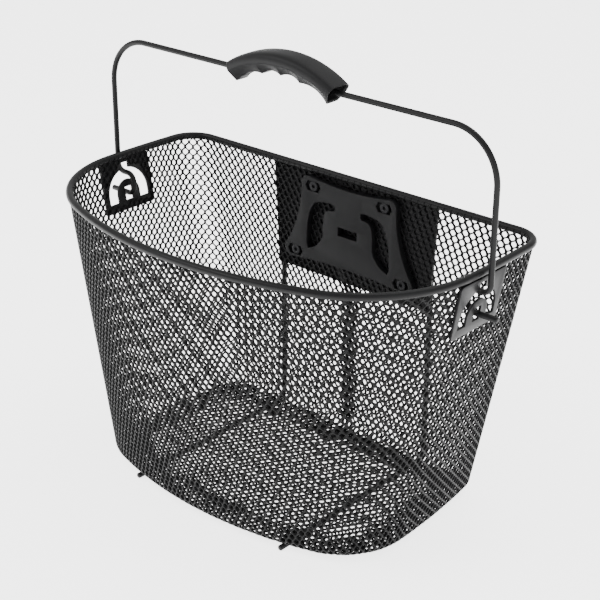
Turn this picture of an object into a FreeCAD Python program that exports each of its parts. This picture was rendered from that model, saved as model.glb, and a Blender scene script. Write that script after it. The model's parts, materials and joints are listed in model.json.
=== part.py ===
"""Handlebar basket: a tapered wire-mesh basket with a folding carrying handle.

The frame has its origin on the surface that the basket stands on, in the middle of the
object's footprint. +Z is up, the bowed front faces -Y and the flat rear, which hangs on a
handlebar, faces +Y. Lengths are millimetres.
"""
import FreeCAD, Part
import math
import os

import Sketcher
from FreeCAD import Placement, Rotation, Vector

SIZES = (
    # alias, value, what it is
    ("sheet_thick", 1.2, "thickness of the perforated steel sheet"),
    ("rim_wire_dia", 6.0, "wire that the top edge is rolled round"),
    ("stay_wire_dia", 4.5, "support wires behind and under the basket"),
    ("handle_wire_dia", 4.5, "wire of the carrying handle"),
    ("rim_level", 231.2, "height of the rim wire's centre"),
    ("rear_wall_y", 95.0, "outer face of the flat rear wall"),
    ("rim_half_width", 184.0, "half width of the wall at the rim"),
    ("rim_front_y", 116.0, "reach of the wall to the front at the rim"),
    ("rim_widest_y", 18.0, "place of the widest point at the rim"),
    ("rim_rear_corner", 24.0, "plan radius of the rear corners at the rim"),
    ("rim_side_bow", 1200.0, "plan radius of the sides at the rim"),
    ("rim_front_corner", 101.0, "plan radius of the front corners at the rim"),
    ("rim_front_bow", 324.0, "plan radius of the front at the rim"),
    ("base_half_width", 145.5, "half width of the wall at the floor"),
    ("base_front_y", 90.0, "reach of the wall to the front at the floor"),
    ("base_widest_y", -19.0, "place of the widest point at the floor"),
    ("base_rear_corner", 20.0, "plan radius of the rear corners at the floor"),
    ("base_side_bow", 618.0, "plan radius of the sides at the floor"),
    ("base_front_corner", 61.0, "plan radius of the front corners at the floor"),
    ("base_front_bow", 347.0, "plan radius of the front at the floor"),
    ("floor_bend", 8.0, "outer radius of the wall's bend into the flange"),
    ("flange_width", 21.0, "flange that the floor panel is welded to"),
    ("flange_corner", 10.0, "plan radius of the flange's rear inner corners"),
    ("seam_width", 13.0, "overlap of the sheet's ends at the rear"),
    ("weld_depth", 0.4, "how far a welded edge sinks into what it is welded to"),
    ("stay_half_gap", 78.0, "support wires' distance from the middle"),
    ("stay_bend", 10.0, "bend of a support wire, on its centre line"),
    ("stay_top_gap", 10.0, "rim wire's centre to the support wires' upper ends"),
    ("stay_front_gap", 10.0, "wall's reach at the floor to the support wires' front ends"),
    ("bracket_thick", 2.0, "side bracket's sheet"),
    ("bracket_width", 54.0, "side bracket, front to rear"),
    ("bracket_height", 44.0, "side bracket, along the wall"),
    ("bracket_top_gap", 3.2, "rim wire's centre to the bracket's top edge"),
    ("bracket_corner", 3.0, "corner radius of the side bracket"),
    ("pivot_y", 14.0, "place of the handle's pivot, front to rear"),
    ("pivot_drop", 33.0, "rim wire's centre to the handle's pivot"),
    ("window_radius", 21.6, "arched window's outer radius about the pivot"),
    ("tongue_radius", 12.0, "tongue's radius about the pivot"),
    ("window_leg", 6.3, "arched window's straight legs below the pivot"),
    ("notch_width", 7.0, "locking notch at the top of the window"),
    ("notch_depth", 5.0, "locking notch above the window"),
    ("slot_width", 7.8, "pivot slot, front to rear"),
    ("slot_height", 11.4, "pivot slot, along the bracket"),
    ("leg_gap", 6.5, "wall at the rim to the centre of the handle's leg"),
    ("handle_rise", 100.6, "rim wire's centre to the handle's top bar"),
    ("handle_corner", 38.0, "bend between leg and top bar, on the centre line"),
    ("hook_bend", 7.0, "bends of the hooked ends, on the centre line"),
    ("hook_reach", 18.5, "hook's inner run to the leg"),
    ("hook_height", 17.6, "hook's crossing above the pivot"),
    ("stub_reach", 7.5, "pivot stub's end outside the leg"),
    ("grip_half_chord", 48.0, "half length of the arched part of the top bar"),
    ("grip_peak", 25.0, "height at which the arch's end tangents meet"),
    ("grip_arch", 95.0, "radius of the arched part of the top bar"),
    ("grip_kink", 14.0, "bend at each end of the arched part"),
    ("grip_angle", 62.0, "angle that the grip covers about the arch's centre"),
    ("grip_core_angle", 50.0, "angle of the grip's solid middle"),
    ("grip_width", 24.0, "grip, front to rear"),
    ("grip_under_width", 13.0, "grip's underside, front to rear"),
    ("grip_above", 8.0, "grip above the wire's centre"),
    ("grip_below", 8.6, "grip below the wire's centre"),
    ("grip_shell", 1.8, "wall of the grip's hollow ends"),
    ("grip_clearance", 0.05, "gap between the grip's bore and the wire"),
    ("backing_thick", 2.0, "outer backing plate"),
    ("backing_top_half", 85.0, "backing plate's half width at the top"),
    ("backing_low_half", 80.0, "backing plate's half width at the bottom"),
    ("backing_top_gap", 3.3, "rim wire's centre to the backing plate's top edge"),
    ("backing_height", 89.7, "backing plate, top to bottom"),
    ("clamp_thick", 5.5, "inner clamp plate"),
    ("clamp_top_half", 50.0, "clamp plate's half width at its upper corners"),
    ("clamp_low_half", 77.0, "clamp plate's half width at its lower corners"),
    ("clamp_top_gap", 3.6, "rim wire's centre to the clamp plate's upper corners"),
    ("clamp_height", 79.4, "clamp plate, upper to lower corners"),
    ("clamp_side_hollow", 100.0, "radius of the clamp plate's hollow sides"),
    ("clamp_top_hollow", 270.0, "radius of its hollow top edge"),
    ("clamp_low_hollow", 500.0, "radius of its hollow bottom edge"),
    ("clamp_corner", 7.0, "corner radius of the clamp plate"),
    ("clamp_recess", 3.2, "depth of the screw recesses"),
    ("recess_half_length", 8.2, "half length of a screw recess"),
    ("recess_half_height", 4.3, "half height of a screw recess"),
    ("slot_half_length", 4.6, "half length of the screw slots under the recesses"),
    ("screw_upper_x", 37.0, "upper screws' distance from the middle"),
    ("screw_upper_drop", 13.0, "rim wire's centre to the upper screws"),
    ("screw_lower_x", 56.0, "lower screws' distance from the middle"),
    ("screw_lower_drop", 74.0, "rim wire's centre to the lower screws"),
    ("screw_dia", 5.0, "clamp screws"),
    ("screw_clearance", 0.4, "clamp screws' holes over the screws' diameter"),
    ("screw_head_dia", 8.6, "low round head of a clamp screw"),
    ("screw_head_height", 2.8, "screw head's height"),
    ("socket_across", 3.0, "hexagon socket, across flats"),
    ("screw_end", 1.5, "screw's end beyond its nut"),
    ("washer_dia", 10.0, "washer under each nut"),
    ("washer_thick", 1.0, "washer's thickness"),
    ("nut_across", 8.0, "nut, across flats"),
    ("nut_height", 4.0, "nut's height"),
    ("adapter_base", 5.0, "adapter's base plate"),
    ("adapter_top_half", 47.0, "adapter base's half width at the top"),
    ("adapter_low_half", 66.0, "adapter base's half width at the bottom"),
    ("adapter_margin", 8.0, "adapter base beyond the screws, up and down"),
    ("adapter_depth", 21.4, "adapter, from the backing plate to its outer face"),
    ("block_half_width", 27.0, "adapter's raised block, half width"),
    ("block_top_gap", 14.0, "rim wire's centre to the adapter block's top"),
    ("block_height", 66.0, "adapter block, top to bottom"),
    ("channel_mouth_half", 13.0, "adapter's sliding channel, half width at its mouth"),
    ("channel_half_width", 18.0, "adapter's sliding channel, half width inside"),
    ("channel_lip", 4.0, "thickness of the lips that hold the slide"),
    ("channel_depth", 12.0, "depth of the sliding channel"),
    ("channel_stop", 8.0, "solid end above the sliding channel"),
)

doc = FreeCAD.newDocument("HandlebarBasket")
sheet = doc.addObject("Spreadsheet::Sheet", "Sizes")
for row, (alias, value, note) in enumerate(SIZES, start=1):
    sheet.set(f"A{row}", alias)
    sheet.set(f"B{row}", str(value))
    sheet.set(f"C{row}", note)
    sheet.setAlias(f"B{row}", alias)
doc.recompute()

SUB_PARTS = []


class Dim:
    """A number together with the sheet formula that gives it."""

    def __init__(self, number, formula):
        self.number = number
        self.formula = formula

    @staticmethod
    def of(other):
        return other if isinstance(other, Dim) else Dim(float(other), repr(float(other)))

    def _join(self, other, sign, number):
        return Dim(number, f"({self.formula} {sign} {Dim.of(other).formula})")

    def __add__(self, other):
        return self._join(other, "+", self.number + Dim.of(other).number)

    def __sub__(self, other):
        return self._join(other, "-", self.number - Dim.of(other).number)

    def __mul__(self, other):
        return self._join(other, "*", self.number * Dim.of(other).number)

    def __truediv__(self, other):
        return self._join(other, "/", self.number / Dim.of(other).number)

    def __neg__(self):
        return Dim(-self.number, f"(0 - {self.formula})")

    def root(self):
        return Dim(math.sqrt(self.number), f"sqrt({self.formula})")

    def cosine(self):
        return Dim(math.cos(math.radians(self.number)), f"cos({self.formula} * 1 deg)")

    def arctangent(self):
        return Dim(math.degrees(math.atan(self.number)), f"(atan({self.formula}) / 1 deg)")


def size(alias):
    """The named size as a Dim."""
    return Dim(float(sheet.get(alias)), f"Sizes.{alias}")


def new_body(node):
    """An empty body whose Label is the node's name."""
    body = doc.addObject("PartDesign::Body", node)
    body.Label = node
    SUB_PARTS.append(body)
    return body


def place(body, x=None, y=None, z=None):
    """Bind the body's place to the sheet."""
    for axis, dim in (("x", x), ("y", y), ("z", z)):
        if dim is not None:
            body.setExpression(f"Placement.Base.{axis}", Dim.of(dim).formula)


def new_sketch(body, name, plane, offset=None):
    """A sketch on one of the body's origin planes, moved along the plane's normal."""
    sketch = body.newObject("Sketcher::SketchObject", f"{body.Name}_{name}")
    role = f"{plane}_Plane"
    support = next(item for item in body.Origin.OriginFeatures if item.Role == role)
    sketch.AttachmentSupport = [(support, "")]
    sketch.MapMode = "FlatFace"
    if offset is not None:
        sketch.AttachmentOffset = Placement(Vector(0, 0, Dim.of(offset).number), Rotation())
        sketch.setExpression("AttachmentOffset.Base.z", Dim.of(offset).formula)
    return sketch


def bind(sketch, kind, *places, dim):
    """Add a dimensional constraint and bind it to its formula."""
    dim = Dim.of(dim)
    index = sketch.addConstraint(Sketcher.Constraint(kind, *places, dim.number))
    sketch.setExpression(f"Constraints[{index}]", dim.formula)


def fix_point(sketch, geometry, position, x, y):
    """Hold one point of the sketch at (x, y) from the sketch's origin."""
    bind(sketch, "DistanceX", -1, 1, geometry, position, dim=x)
    bind(sketch, "DistanceY", -1, 1, geometry, position, dim=y)


def circle(sketch, x, y, diameter):
    """A full circle, held by its centre and diameter."""
    x, y, diameter = Dim.of(x), Dim.of(y), Dim.of(diameter)
    centre = Vector(x.number, y.number, 0)
    index = sketch.addGeometry(Part.Circle(centre, Vector(0, 0, 1), diameter.number / 2))
    fix_point(sketch, index, 3, x, y)
    bind(sketch, "Diameter", index, dim=diameter)


def polygon(sketch, corners):
    """A closed outline of straight edges through the corners, each held at its place."""
    corners = [(Dim.of(x), Dim.of(y)) for x, y in corners]
    points = [Vector(x.number, y.number, 0) for x, y in corners]
    first = len(sketch.Geometry)
    for start, end in zip(points, points[1:] + points[:1]):
        sketch.addGeometry(Part.LineSegment(start, end))
    count = len(points)
    for step in range(count):
        sketch.addConstraint(
            Sketcher.Constraint("Coincident", first + step, 2, first + (step + 1) % count, 1))
    for step, (x, y) in enumerate(corners):
        fix_point(sketch, first + step, 1, x, y)


def rectangle(sketch, low_x, low_y, high_x, high_y):
    """An upright rectangle between two corners."""
    polygon(sketch, ((low_x, low_y), (high_x, low_y), (high_x, high_y), (low_x, high_y)))


def arch(sketch, radius, leg, level):
    """A half round of the given radius about (0, level), on two straight legs."""
    radius, leg, level = Dim.of(radius), Dim.of(leg), Dim.of(level)
    r, low, mid = radius.number, level.number - leg.number, level.number
    left_low, right_low = Vector(-r, low, 0), Vector(r, low, 0)
    left_mid, right_mid = Vector(-r, mid, 0), Vector(r, mid, 0)
    first = len(sketch.Geometry)
    sketch.addGeometry(Part.LineSegment(left_low, right_low))
    sketch.addGeometry(Part.LineSegment(right_low, right_mid))
    sketch.addGeometry(Part.Arc(right_mid, Vector(0, mid + r, 0), left_mid))
    sketch.addGeometry(Part.LineSegment(left_mid, left_low))
    for step in range(3):
        kind = "Tangent" if step else "Coincident"
        sketch.addConstraint(Sketcher.Constraint(kind, first + step, 2, first + step + 1, 1))
    sketch.addConstraint(Sketcher.Constraint("Coincident", first + 3, 2, first, 1))
    sketch.addConstraint(Sketcher.Constraint("Horizontal", first))
    sketch.addConstraint(Sketcher.Constraint("Vertical", first + 1))
    fix_point(sketch, first + 2, 3, 0, level)
    bind(sketch, "Radius", first + 2, dim=radius)
    bind(sketch, "DistanceY", first, 1, first + 2, 3, dim=leg)


class Plan:
    """A D-shaped plan: flat rear, tight rear corners, big front corners, bowed front.

    Every edge meets the next one at a tangent. The plan is symmetric about the Y axis.
    """

    def __init__(self, half_width, widest_y, rear_y, front_y, rear_corner, side, front_corner, front):
        self.half_width, self.widest_y = half_width, widest_y
        self.rear_y, self.front_y = rear_y, front_y
        self.rear_corner, self.side = rear_corner, side
        self.front_corner, self.front = front_corner, front

    def inset(self, gap, rear_corner=None):
        """The same plan moved inward by the gap, parallel all round."""
        return Plan(self.half_width - gap, self.widest_y, self.rear_y - gap, self.front_y - gap,
                    rear_corner or self.rear_corner - gap, self.side - gap,
                    self.front_corner - gap, self.front - gap)

    def rear_half_length(self):
        """Half of the flat rear edge: the rear corner's centre lies inside the side arc."""
        reach = self.side - self.rear_corner
        rise = self.rear_y - self.rear_corner - self.widest_y
        return self.half_width - self.side + (reach * reach - rise * rise).root()

    def points(self):
        """Arc centres and the joints between the arcs, for the right half, as numbers."""
        side, front = self.side.number, self.front.number
        rear_corner, front_corner = self.rear_corner.number, self.front_corner.number
        side_centre = Vector(self.half_width.number - side, self.widest_y.number, 0)
        front_centre = Vector(0, front - self.front_y.number, 0)
        flat = self.rear_half_length().number
        rear_centre = Vector(flat, self.rear_y.number - rear_corner, 0)
        reach_side, reach_front = side - front_corner, front - front_corner
        between = front_centre - side_centre
        span = between.Length
        along = (reach_side ** 2 - reach_front ** 2 + span ** 2) / (2 * span)
        across = math.sqrt(reach_side ** 2 - along ** 2)
        unit = between / span
        normal = Vector(unit.y, -unit.x, 0)
        corner_centre = side_centre + unit * along + normal * across
        joints = [Vector(flat, self.rear_y.number, 0)]
        for centre, towards, radius in ((side_centre, rear_centre, side),
                                        (side_centre, corner_centre, side),
                                        (front_centre, corner_centre, front)):
            joints.append(centre + (towards - centre).normalize() * radius)
        return (rear_centre, side_centre, corner_centre, front_centre), joints

    def draw(self, sketch):
        """Draw the plan as eight tangent edges and hold every size."""
        centres, joints = self.points()
        radii = [self.rear_corner.number, self.side.number, self.front_corner.number]
        mirror = lambda point: Vector(-point.x, point.y, 0)
        sketch.addGeometry(Part.LineSegment(mirror(joints[0]), joints[0]))
        for centre, radius, start, end in zip(centres, radii, joints, joints[1:]):
            sketch.addGeometry(arc_between(centre, radius, start, end))
        front = arc_between(centres[3], self.front.number, joints[3], mirror(joints[3]))
        sketch.addGeometry(front)
        backward = list(zip(centres, radii, joints, joints[1:]))[::-1]
        for centre, radius, start, end in backward:
            sketch.addGeometry(arc_between(mirror(centre), radius, mirror(end), mirror(start)))
        ends = lambda index: (2, 1) if index in (0,) else (1, 2)
        for step in range(8):
            after = (step + 1) % 8
            sketch.addConstraint(Sketcher.Constraint(
                "Tangent", step, ends(step)[0], after, ends(after)[1]))
        sketch.addConstraint(Sketcher.Constraint("Horizontal", 0))
        for right, left in ((1, 7), (2, 6), (3, 5)):
            sketch.addConstraint(Sketcher.Constraint("Equal", right, left))
        sketch.addConstraint(Sketcher.Constraint("Symmetric", 2, 3, 6, 3, -2))
        for index, dim in ((1, self.rear_corner), (2, self.side), (3, self.front_corner),
                           (4, self.front)):
            bind(sketch, "Radius", index, dim=dim)
        bind(sketch, "DistanceY", -1, 1, 0, 1, dim=self.rear_y)
        fix_point(sketch, 4, 3, 0, self.front - self.front_y)
        fix_point(sketch, 2, 3, self.half_width - self.side, self.widest_y)


def arc_between(centre, radius, start, end):
    """The short clockwise arc from start to end about the centre."""
    middle = (start + end) * 0.5 - centre
    top = centre + middle.normalize() * radius
    return Part.Arc(start, top, end)


def wire_route(sketch, corners, radii):
    """A wire's centre line: straight runs through the corners, joined by tangent arcs.

    A construction point stands at each corner, and the runs pass through these points.
    """
    corners = [(Dim.of(x), Dim.of(y)) for x, y in corners]
    radii = [Dim.of(radius) for radius in radii]
    points = [Vector(x.number, y.number, 0) for x, y in corners]
    starts, ends, arcs = [points[0]], [], []
    for before, corner, after, radius in zip(points, points[1:], points[2:], radii):
        towards, away = (before - corner).normalize(), (after - corner).normalize()
        half = towards.getAngle(away) / 2
        inner = (towards + away).normalize()
        centre = corner + inner * (radius.number / math.sin(half))
        reach = radius.number / math.tan(half)
        ends.append(corner + towards * reach)
        starts.append(corner + away * reach)
        arcs.append(Part.Arc(ends[-1], centre - inner * radius.number, starts[-1]))
    ends.append(points[-1])
    runs = [sketch.addGeometry(Part.LineSegment(start, end)) for start, end in zip(starts, ends)]
    bends = [sketch.addGeometry(bend) for bend in arcs]
    marks = []
    for point, (x, y) in zip(points, corners):
        marks.append(sketch.addGeometry(Part.Point(point), True))
        fix_point(sketch, marks[-1], 1, x, y)
    sketch.addConstraint(Sketcher.Constraint("Coincident", runs[0], 1, marks[0], 1))
    sketch.addConstraint(Sketcher.Constraint("Coincident", runs[-1], 2, marks[-1], 1))
    for step, (bend, radius) in enumerate(zip(bends, radii)):
        before, after, mark = runs[step], runs[step + 1], marks[step + 1]
        starts_here = sketch.getPoint(bend, 1).distanceToPoint(ends[step]) < 1e-6
        first, second = (1, 2) if starts_here else (2, 1)
        sketch.addConstraint(Sketcher.Constraint("Tangent", before, 2, bend, first))
        sketch.addConstraint(Sketcher.Constraint("Tangent", after, 1, bend, second))
        sketch.addConstraint(Sketcher.Constraint("PointOnObject", mark, 1, before))
        sketch.addConstraint(Sketcher.Constraint("PointOnObject", mark, 1, after))
        bind(sketch, "Radius", bend, dim=radius)


def feature(body, kind, name, profile, **values):
    """A PartDesign feature on the profile; a Dim value is bound to its formula."""
    item = body.newObject(f"PartDesign::{kind}", f"{body.Name}_{name}")
    item.Profile = (profile, [""]) if kind.startswith("Additive") else profile
    for key, value in values.items():
        if isinstance(value, Dim):
            setattr(item, key, value.number)
            item.setExpression(key, value.formula)
        else:
            setattr(item, key, value)
    doc.recompute()
    return item


def pad(body, name, profile, length, **values):
    return feature(body, "Pad", name, profile, Length=length, **values)


def cut_through(body, name, profile, **values):
    return feature(body, "Pocket", name, profile, Type="ThroughAll", **values)


def pipe(body, name, profile, route):
    """Sweep the wire's section along its centre line."""
    item = body.newObject("PartDesign::AdditivePipe", f"{body.Name}_{name}")
    item.Profile = profile
    item.Spine = (route, [f"Edge{number + 1}" for number in range(len(route.Shape.Edges))])
    item.Mode = "Standard"
    item.Transition = "Transformed"
    doc.recompute()
    return item


def loft(body, kind, name, levels):
    """A ruled loft through plans at rising levels."""
    sections = []
    for number, (level, plan) in enumerate(levels):
        section = new_sketch(body, f"{name}_{number}", "XY", level)
        plan.draw(section)
        sections.append(section)
    doc.recompute()
    item = body.newObject(f"PartDesign::{kind}", f"{body.Name}_{name}")
    item.Profile = sections[0]
    item.Sections = sections[1:]
    item.Ruled = True
    doc.recompute()
    return item


# ---------------------------------------------------------------- shared places and plans
sheet_thick = size("sheet_thick")
rear_wall_y = size("rear_wall_y")
rim_level = size("rim_level")
rim_radius = size("rim_wire_dia") / 2
stay_radius = size("stay_wire_dia") / 2
handle_radius = size("handle_wire_dia") / 2
floor_level = size("stay_wire_dia")
bend_top = floor_level + size("floor_bend")
wall_top = rim_level - rim_radius + size("weld_depth")
wall_height = wall_top - bend_top
side_lean = (size("rim_half_width") - size("base_half_width")) / wall_height
lean_angle = side_lean.arctangent()
screw_hole_dia = size("screw_dia") + size("screw_clearance")
pivot_level = rim_level - size("pivot_drop")
stay_front_y = size("base_front_y") - size("stay_front_gap")
leg_x = size("rim_half_width") + size("leg_gap")
bar_level = rim_level + size("handle_rise")
backing_top = rim_level - size("backing_top_gap")
backing_low = backing_top - size("backing_height")
clamp_top = rim_level - size("clamp_top_gap")
clamp_low = clamp_top - size("clamp_height")
screw_upper_level = rim_level - size("screw_upper_drop")
screw_lower_level = rim_level - size("screw_lower_drop")
block_top = rim_level - size("block_top_gap")
block_low = block_top - size("block_height")

rim_plan = Plan(size("rim_half_width"), size("rim_widest_y"), rear_wall_y, size("rim_front_y"),
                size("rim_rear_corner"), size("rim_side_bow"), size("rim_front_corner"),
                size("rim_front_bow"))
base_plan = Plan(size("base_half_width"), size("base_widest_y"), rear_wall_y,
                 size("base_front_y"), size("base_rear_corner"), size("base_side_bow"),
                 size("base_front_corner"), size("base_front_bow"))
BEND_SHARE = 1 - math.cos(math.radians(45))


def side_x(level):
    """The side wall's outer face at a level, on the straight line from floor to rim."""
    return size("rim_half_width") - (wall_top - level) * side_lean


def make_mesh_wall():
    """The wall: one perforated sheet, bent inward at the bottom into a flange."""
    body = new_body("mesh_wall")
    bend = size("floor_bend")
    inner_bend = bend - sheet_thick
    loft(body, "AdditiveLoft", "outside", (
        (floor_level, base_plan.inset(bend)),
        (floor_level + bend * BEND_SHARE, base_plan.inset(bend * BEND_SHARE)),
        (bend_top, base_plan.inset(Dim.of(0))),
        (wall_top, rim_plan)))
    loft(body, "SubtractiveLoft", "inside", (
        (floor_level + sheet_thick, base_plan.inset(bend)),
        (floor_level + sheet_thick + inner_bend * BEND_SHARE,
         base_plan.inset(sheet_thick + inner_bend * BEND_SHARE)),
        (bend_top, base_plan.inset(sheet_thick)),
        (wall_top, rim_plan.inset(sheet_thick))))
    opening = new_sketch(body, "flange_opening", "XY", floor_level)
    base_plan.inset(bend + size("flange_width"), size("flange_corner")).draw(opening)
    feature(body, "Pocket", "flange_hole", opening, Length=sheet_thick * 2, Midplane=True)
    seam = new_sketch(body, "seam_strip", "XZ", -rear_wall_y)
    half = size("seam_width") / 2
    rectangle(seam, -half, bend_top, half, backing_low - 1)
    pad(body, "seam", seam, sheet_thick, Reversed=True)
    window = new_sketch(body, "bracket_windows", "YZ")
    arch(window, size("window_radius") + 1, size("window_leg") + 1, 0)
    window.AttachmentOffset = Placement(Vector(size("pivot_y").number, pivot_level.number, 0),
                                        Rotation())
    window.setExpression("AttachmentOffset.Base.x", size("pivot_y").formula)
    window.setExpression("AttachmentOffset.Base.y", pivot_level.formula)
    cut_through(body, "windows", window, Midplane=True)
    notch = new_sketch(body, "bracket_notches", "YZ")
    half_notch = size("notch_width") / 2 + 1
    rectangle(notch, size("pivot_y") - half_notch, pivot_level,
              size("pivot_y") + half_notch,
              pivot_level + size("window_radius") + size("notch_depth") + 1)
    cut_through(body, "notches", notch, Midplane=True)
    drill(body, rear_wall_y, "screw_holes", screw_hole_dia, sheet_thick + 1)


def make_mesh_floor():
    """The floor: a flat D-shaped perforated panel, welded on top of the flange."""
    body = new_body("mesh_floor")
    outline = new_sketch(body, "outline", "XY", floor_level + sheet_thick)
    base_plan.inset(size("floor_bend") + size("weld_depth")).draw(outline)
    pad(body, "panel", outline, sheet_thick)


def make_rim_wire():
    """The rim: a closed wire round the top edge."""
    body = new_body("rim_wire")
    plan = rim_plan.inset(sheet_thick / 2)
    route = new_sketch(body, "route", "XY", rim_level)
    plan.draw(route)
    section = new_sketch(body, "section", "YZ", -plan.rear_half_length())
    circle(section, plan.rear_y, rim_level, size("rim_wire_dia"))
    doc.recompute()
    pipe(body, "tube", section, route)


def make_stay(side, node):
    """A support wire: down behind the rear wall, then forward under the floor."""
    body = new_body(node)
    upright_y = rear_wall_y + size("backing_thick") + stay_radius
    route = new_sketch(body, "route", "YZ")
    wire_route(route, ((-stay_front_y, stay_radius), (upright_y, stay_radius),
                       (upright_y, rim_level - size("stay_top_gap"))), (size("stay_bend"),))
    section = new_sketch(body, "section", "XZ", stay_front_y)
    circle(section, 0, stay_radius, size("stay_wire_dia"))
    doc.recompute()
    pipe(body, "wire", section, route)
    place(body, x=size("stay_half_gap") * side)


def make_bracket(side, node):
    """A side bracket: a flat plate with an arched window, a notch and a pivot slot.

    The plate is drawn upright with the pivot at its origin, then leans with the wall.
    """
    body = new_body(node)
    thick = size("bracket_thick")
    upward = (size("pivot_drop") - size("bracket_top_gap")) / lean_angle.cosine()
    half = size("bracket_width") / 2
    outward = {"Reversed": side < 0}
    inward = {"Reversed": side > 0}
    outline = new_sketch(body, "outline", "YZ")
    rectangle(outline, -half, upward - size("bracket_height"), half, upward)
    pad(body, "plate", outline, thick, **outward)
    window = new_sketch(body, "window_outline", "YZ")
    arch(window, size("window_radius"), size("window_leg"), 0)
    cut_through(body, "window", window, Midplane=True)
    tongue = new_sketch(body, "tongue_outline", "YZ")
    arch(tongue, size("tongue_radius"), size("window_leg"), 0)
    pad(body, "tongue", tongue, thick, **outward)
    notch = new_sketch(body, "notch_outline", "YZ")
    half_notch = size("notch_width") / 2
    rectangle(notch, -half_notch, size("tongue_radius") + 1, half_notch,
              size("window_radius") + size("notch_depth"))
    cut_through(body, "notch", notch, Midplane=True)
    slot = new_sketch(body, "slot_outline", "YZ")
    rectangle(slot, -size("slot_width") / 2, -size("slot_height") / 2,
              size("slot_width") / 2, size("slot_height") / 2)
    last = cut_through(body, "slot", slot, Midplane=True)
    corners = [f"Edge{number + 1}" for number, edge in enumerate(last.Shape.Edges)
               if is_plate_corner(edge, half.number, upward.number)]
    rounding = body.newObject("PartDesign::Fillet", f"{node}_corners")
    rounding.Base = (last, corners)
    rounding.Radius = size("bracket_corner").number
    rounding.setExpression("Radius", size("bracket_corner").formula)
    # the plan's side bows outward, so the plate touches the wall along its middle
    body.Placement = Placement(Vector(0, 0, 0), Rotation(Vector(0, side, 0), lean_angle.number))
    body.setExpression("Placement.Rotation.Angle", lean_angle.formula)
    inner_face = side_x(pivot_level) - size("weld_depth")
    place(body, x=inner_face * side, y=size("pivot_y"), z=pivot_level)


def is_plate_corner(edge, half, upward):
    """True for the plate's four short corner edges, across its thickness."""
    if len(edge.Vertexes) != 2:
        return False
    first, second = (vertex.Point for vertex in edge.Vertexes)
    low = upward - size("bracket_height").number
    on_side = abs(abs(first.y) - half) < 1e-6 and abs(first.y - second.y) < 1e-6
    level = min(abs(first.z - upward), abs(first.z - low))
    return on_side and level < 1e-6 and abs(first.z - second.z) < 1e-6


def make_handle_wire():
    """The handle: one bent wire with an arched middle and a hook at each end."""
    body = new_body("handle_wire")
    leg = leg_x
    inner = leg - size("hook_reach")
    stub = leg + size("stub_reach")
    crossing = pivot_level + size("hook_height")
    bar, chord = bar_level, size("grip_half_chord")
    right = ((stub, pivot_level), (inner, pivot_level), (inner, crossing), (leg, crossing),
             (leg, bar), (chord, bar))
    left = [(-x, z) for x, z in right[::-1]]
    bends = [size("hook_bend")] * 3 + [size("handle_corner"), size("grip_kink")]
    route = new_sketch(body, "route", "XZ")
    wire_route(route, [*right, (0, bar + size("grip_peak")), *left],
               bends + [size("grip_arch")] + bends[::-1])
    section = new_sketch(body, "section", "YZ", stub)
    circle(section, 0, pivot_level, size("handle_wire_dia"))
    doc.recompute()
    pipe(body, "wire", section, route)
    place(body, y=size("pivot_y"))


def arch_centre():
    """Height of the centre of the top bar's arched part."""
    chord, peak, radius = size("grip_half_chord"), size("grip_peak"), size("grip_arch")
    slope = (chord * chord + peak * peak).root()
    return bar_level + peak - radius * slope / chord


def make_handle_grip():
    """The grip: a moulded handle on the arched wire, solid in the middle, hollow at its ends."""
    body = new_body("handle_grip")
    centre = arch_centre()
    wire_level = centre + size("grip_arch")
    top, low = wire_level + size("grip_above"), wire_level - size("grip_below")
    half, half_under = size("grip_width") / 2, size("grip_under_width") / 2
    shell = size("grip_shell")
    crease = wire_level + 1

    def turned(name, sketch, angle):
        axis = sketch.addGeometry(
            Part.LineSegment(Vector(-10, centre.number, 0), Vector(10, centre.number, 0)), True)
        fix_point(sketch, axis, 1, -10, centre)
        fix_point(sketch, axis, 2, 10, centre)
        item = body.newObject("PartDesign::Revolution", f"{body.Name}_{name}")
        item.Profile = sketch
        item.ReferenceAxis = (sketch, ["Axis0"])
        item.Midplane = True
        item.Angle = angle.number
        item.setExpression("Angle", angle.formula)
        doc.recompute()

    outside = ((-half, top), (half, top), (half, crease), (half_under, low), (-half_under, low),
               (-half, crease))
    wide, under = half - shell, half_under - shell / 2
    inside = ((-wide, top - shell), (wide, top - shell), (wide, crease), (under, low + shell),
              (-under, low + shell), (-wide, crease))
    sleeve = new_sketch(body, "sleeve", "YZ")
    polygon(sleeve, outside)
    polygon(sleeve, inside)
    turned("shell", sleeve, size("grip_angle"))
    core = new_sketch(body, "core", "YZ")
    polygon(core, outside)
    circle(core, 0, wire_level, (handle_radius + size("grip_clearance")) * 2)
    turned("middle", core, size("grip_core_angle"))
    place(body, y=size("pivot_y"))


def screw_places():
    """The four clamp screws, seen from the front: upper left, upper right, lower left, right."""
    for x, level in ((size("screw_upper_x"), screw_upper_level),
                     (size("screw_lower_x"), screw_lower_level)):
        for side in (-1, 1):
            yield x * side, level


def drill(body, face, name, diameter, depth):
    """Clearance holes for the four screws, from an XZ face."""
    holes = new_sketch(body, name, "XZ", -face)
    for x, level in screw_places():
        circle(holes, x, level, diameter)
    feature(body, "Pocket", f"{name}_cut", holes, Length=depth * 2, Midplane=True)


def make_backing_plate():
    """The backing plate: a flat steel sheet behind the rear wall, under the rim."""
    body = new_body("backing_plate")
    outline = new_sketch(body, "outline", "XZ", -rear_wall_y)
    top, low = size("backing_top_half"), size("backing_low_half")
    polygon(outline, ((-low, backing_low), (low, backing_low),
                      (top, backing_top), (-top, backing_top)))
    pad(body, "plate", outline, size("backing_thick"), Reversed=True)
    drill(body, rear_wall_y, "screw_holes", screw_hole_dia, size("backing_thick") + 1)


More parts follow.
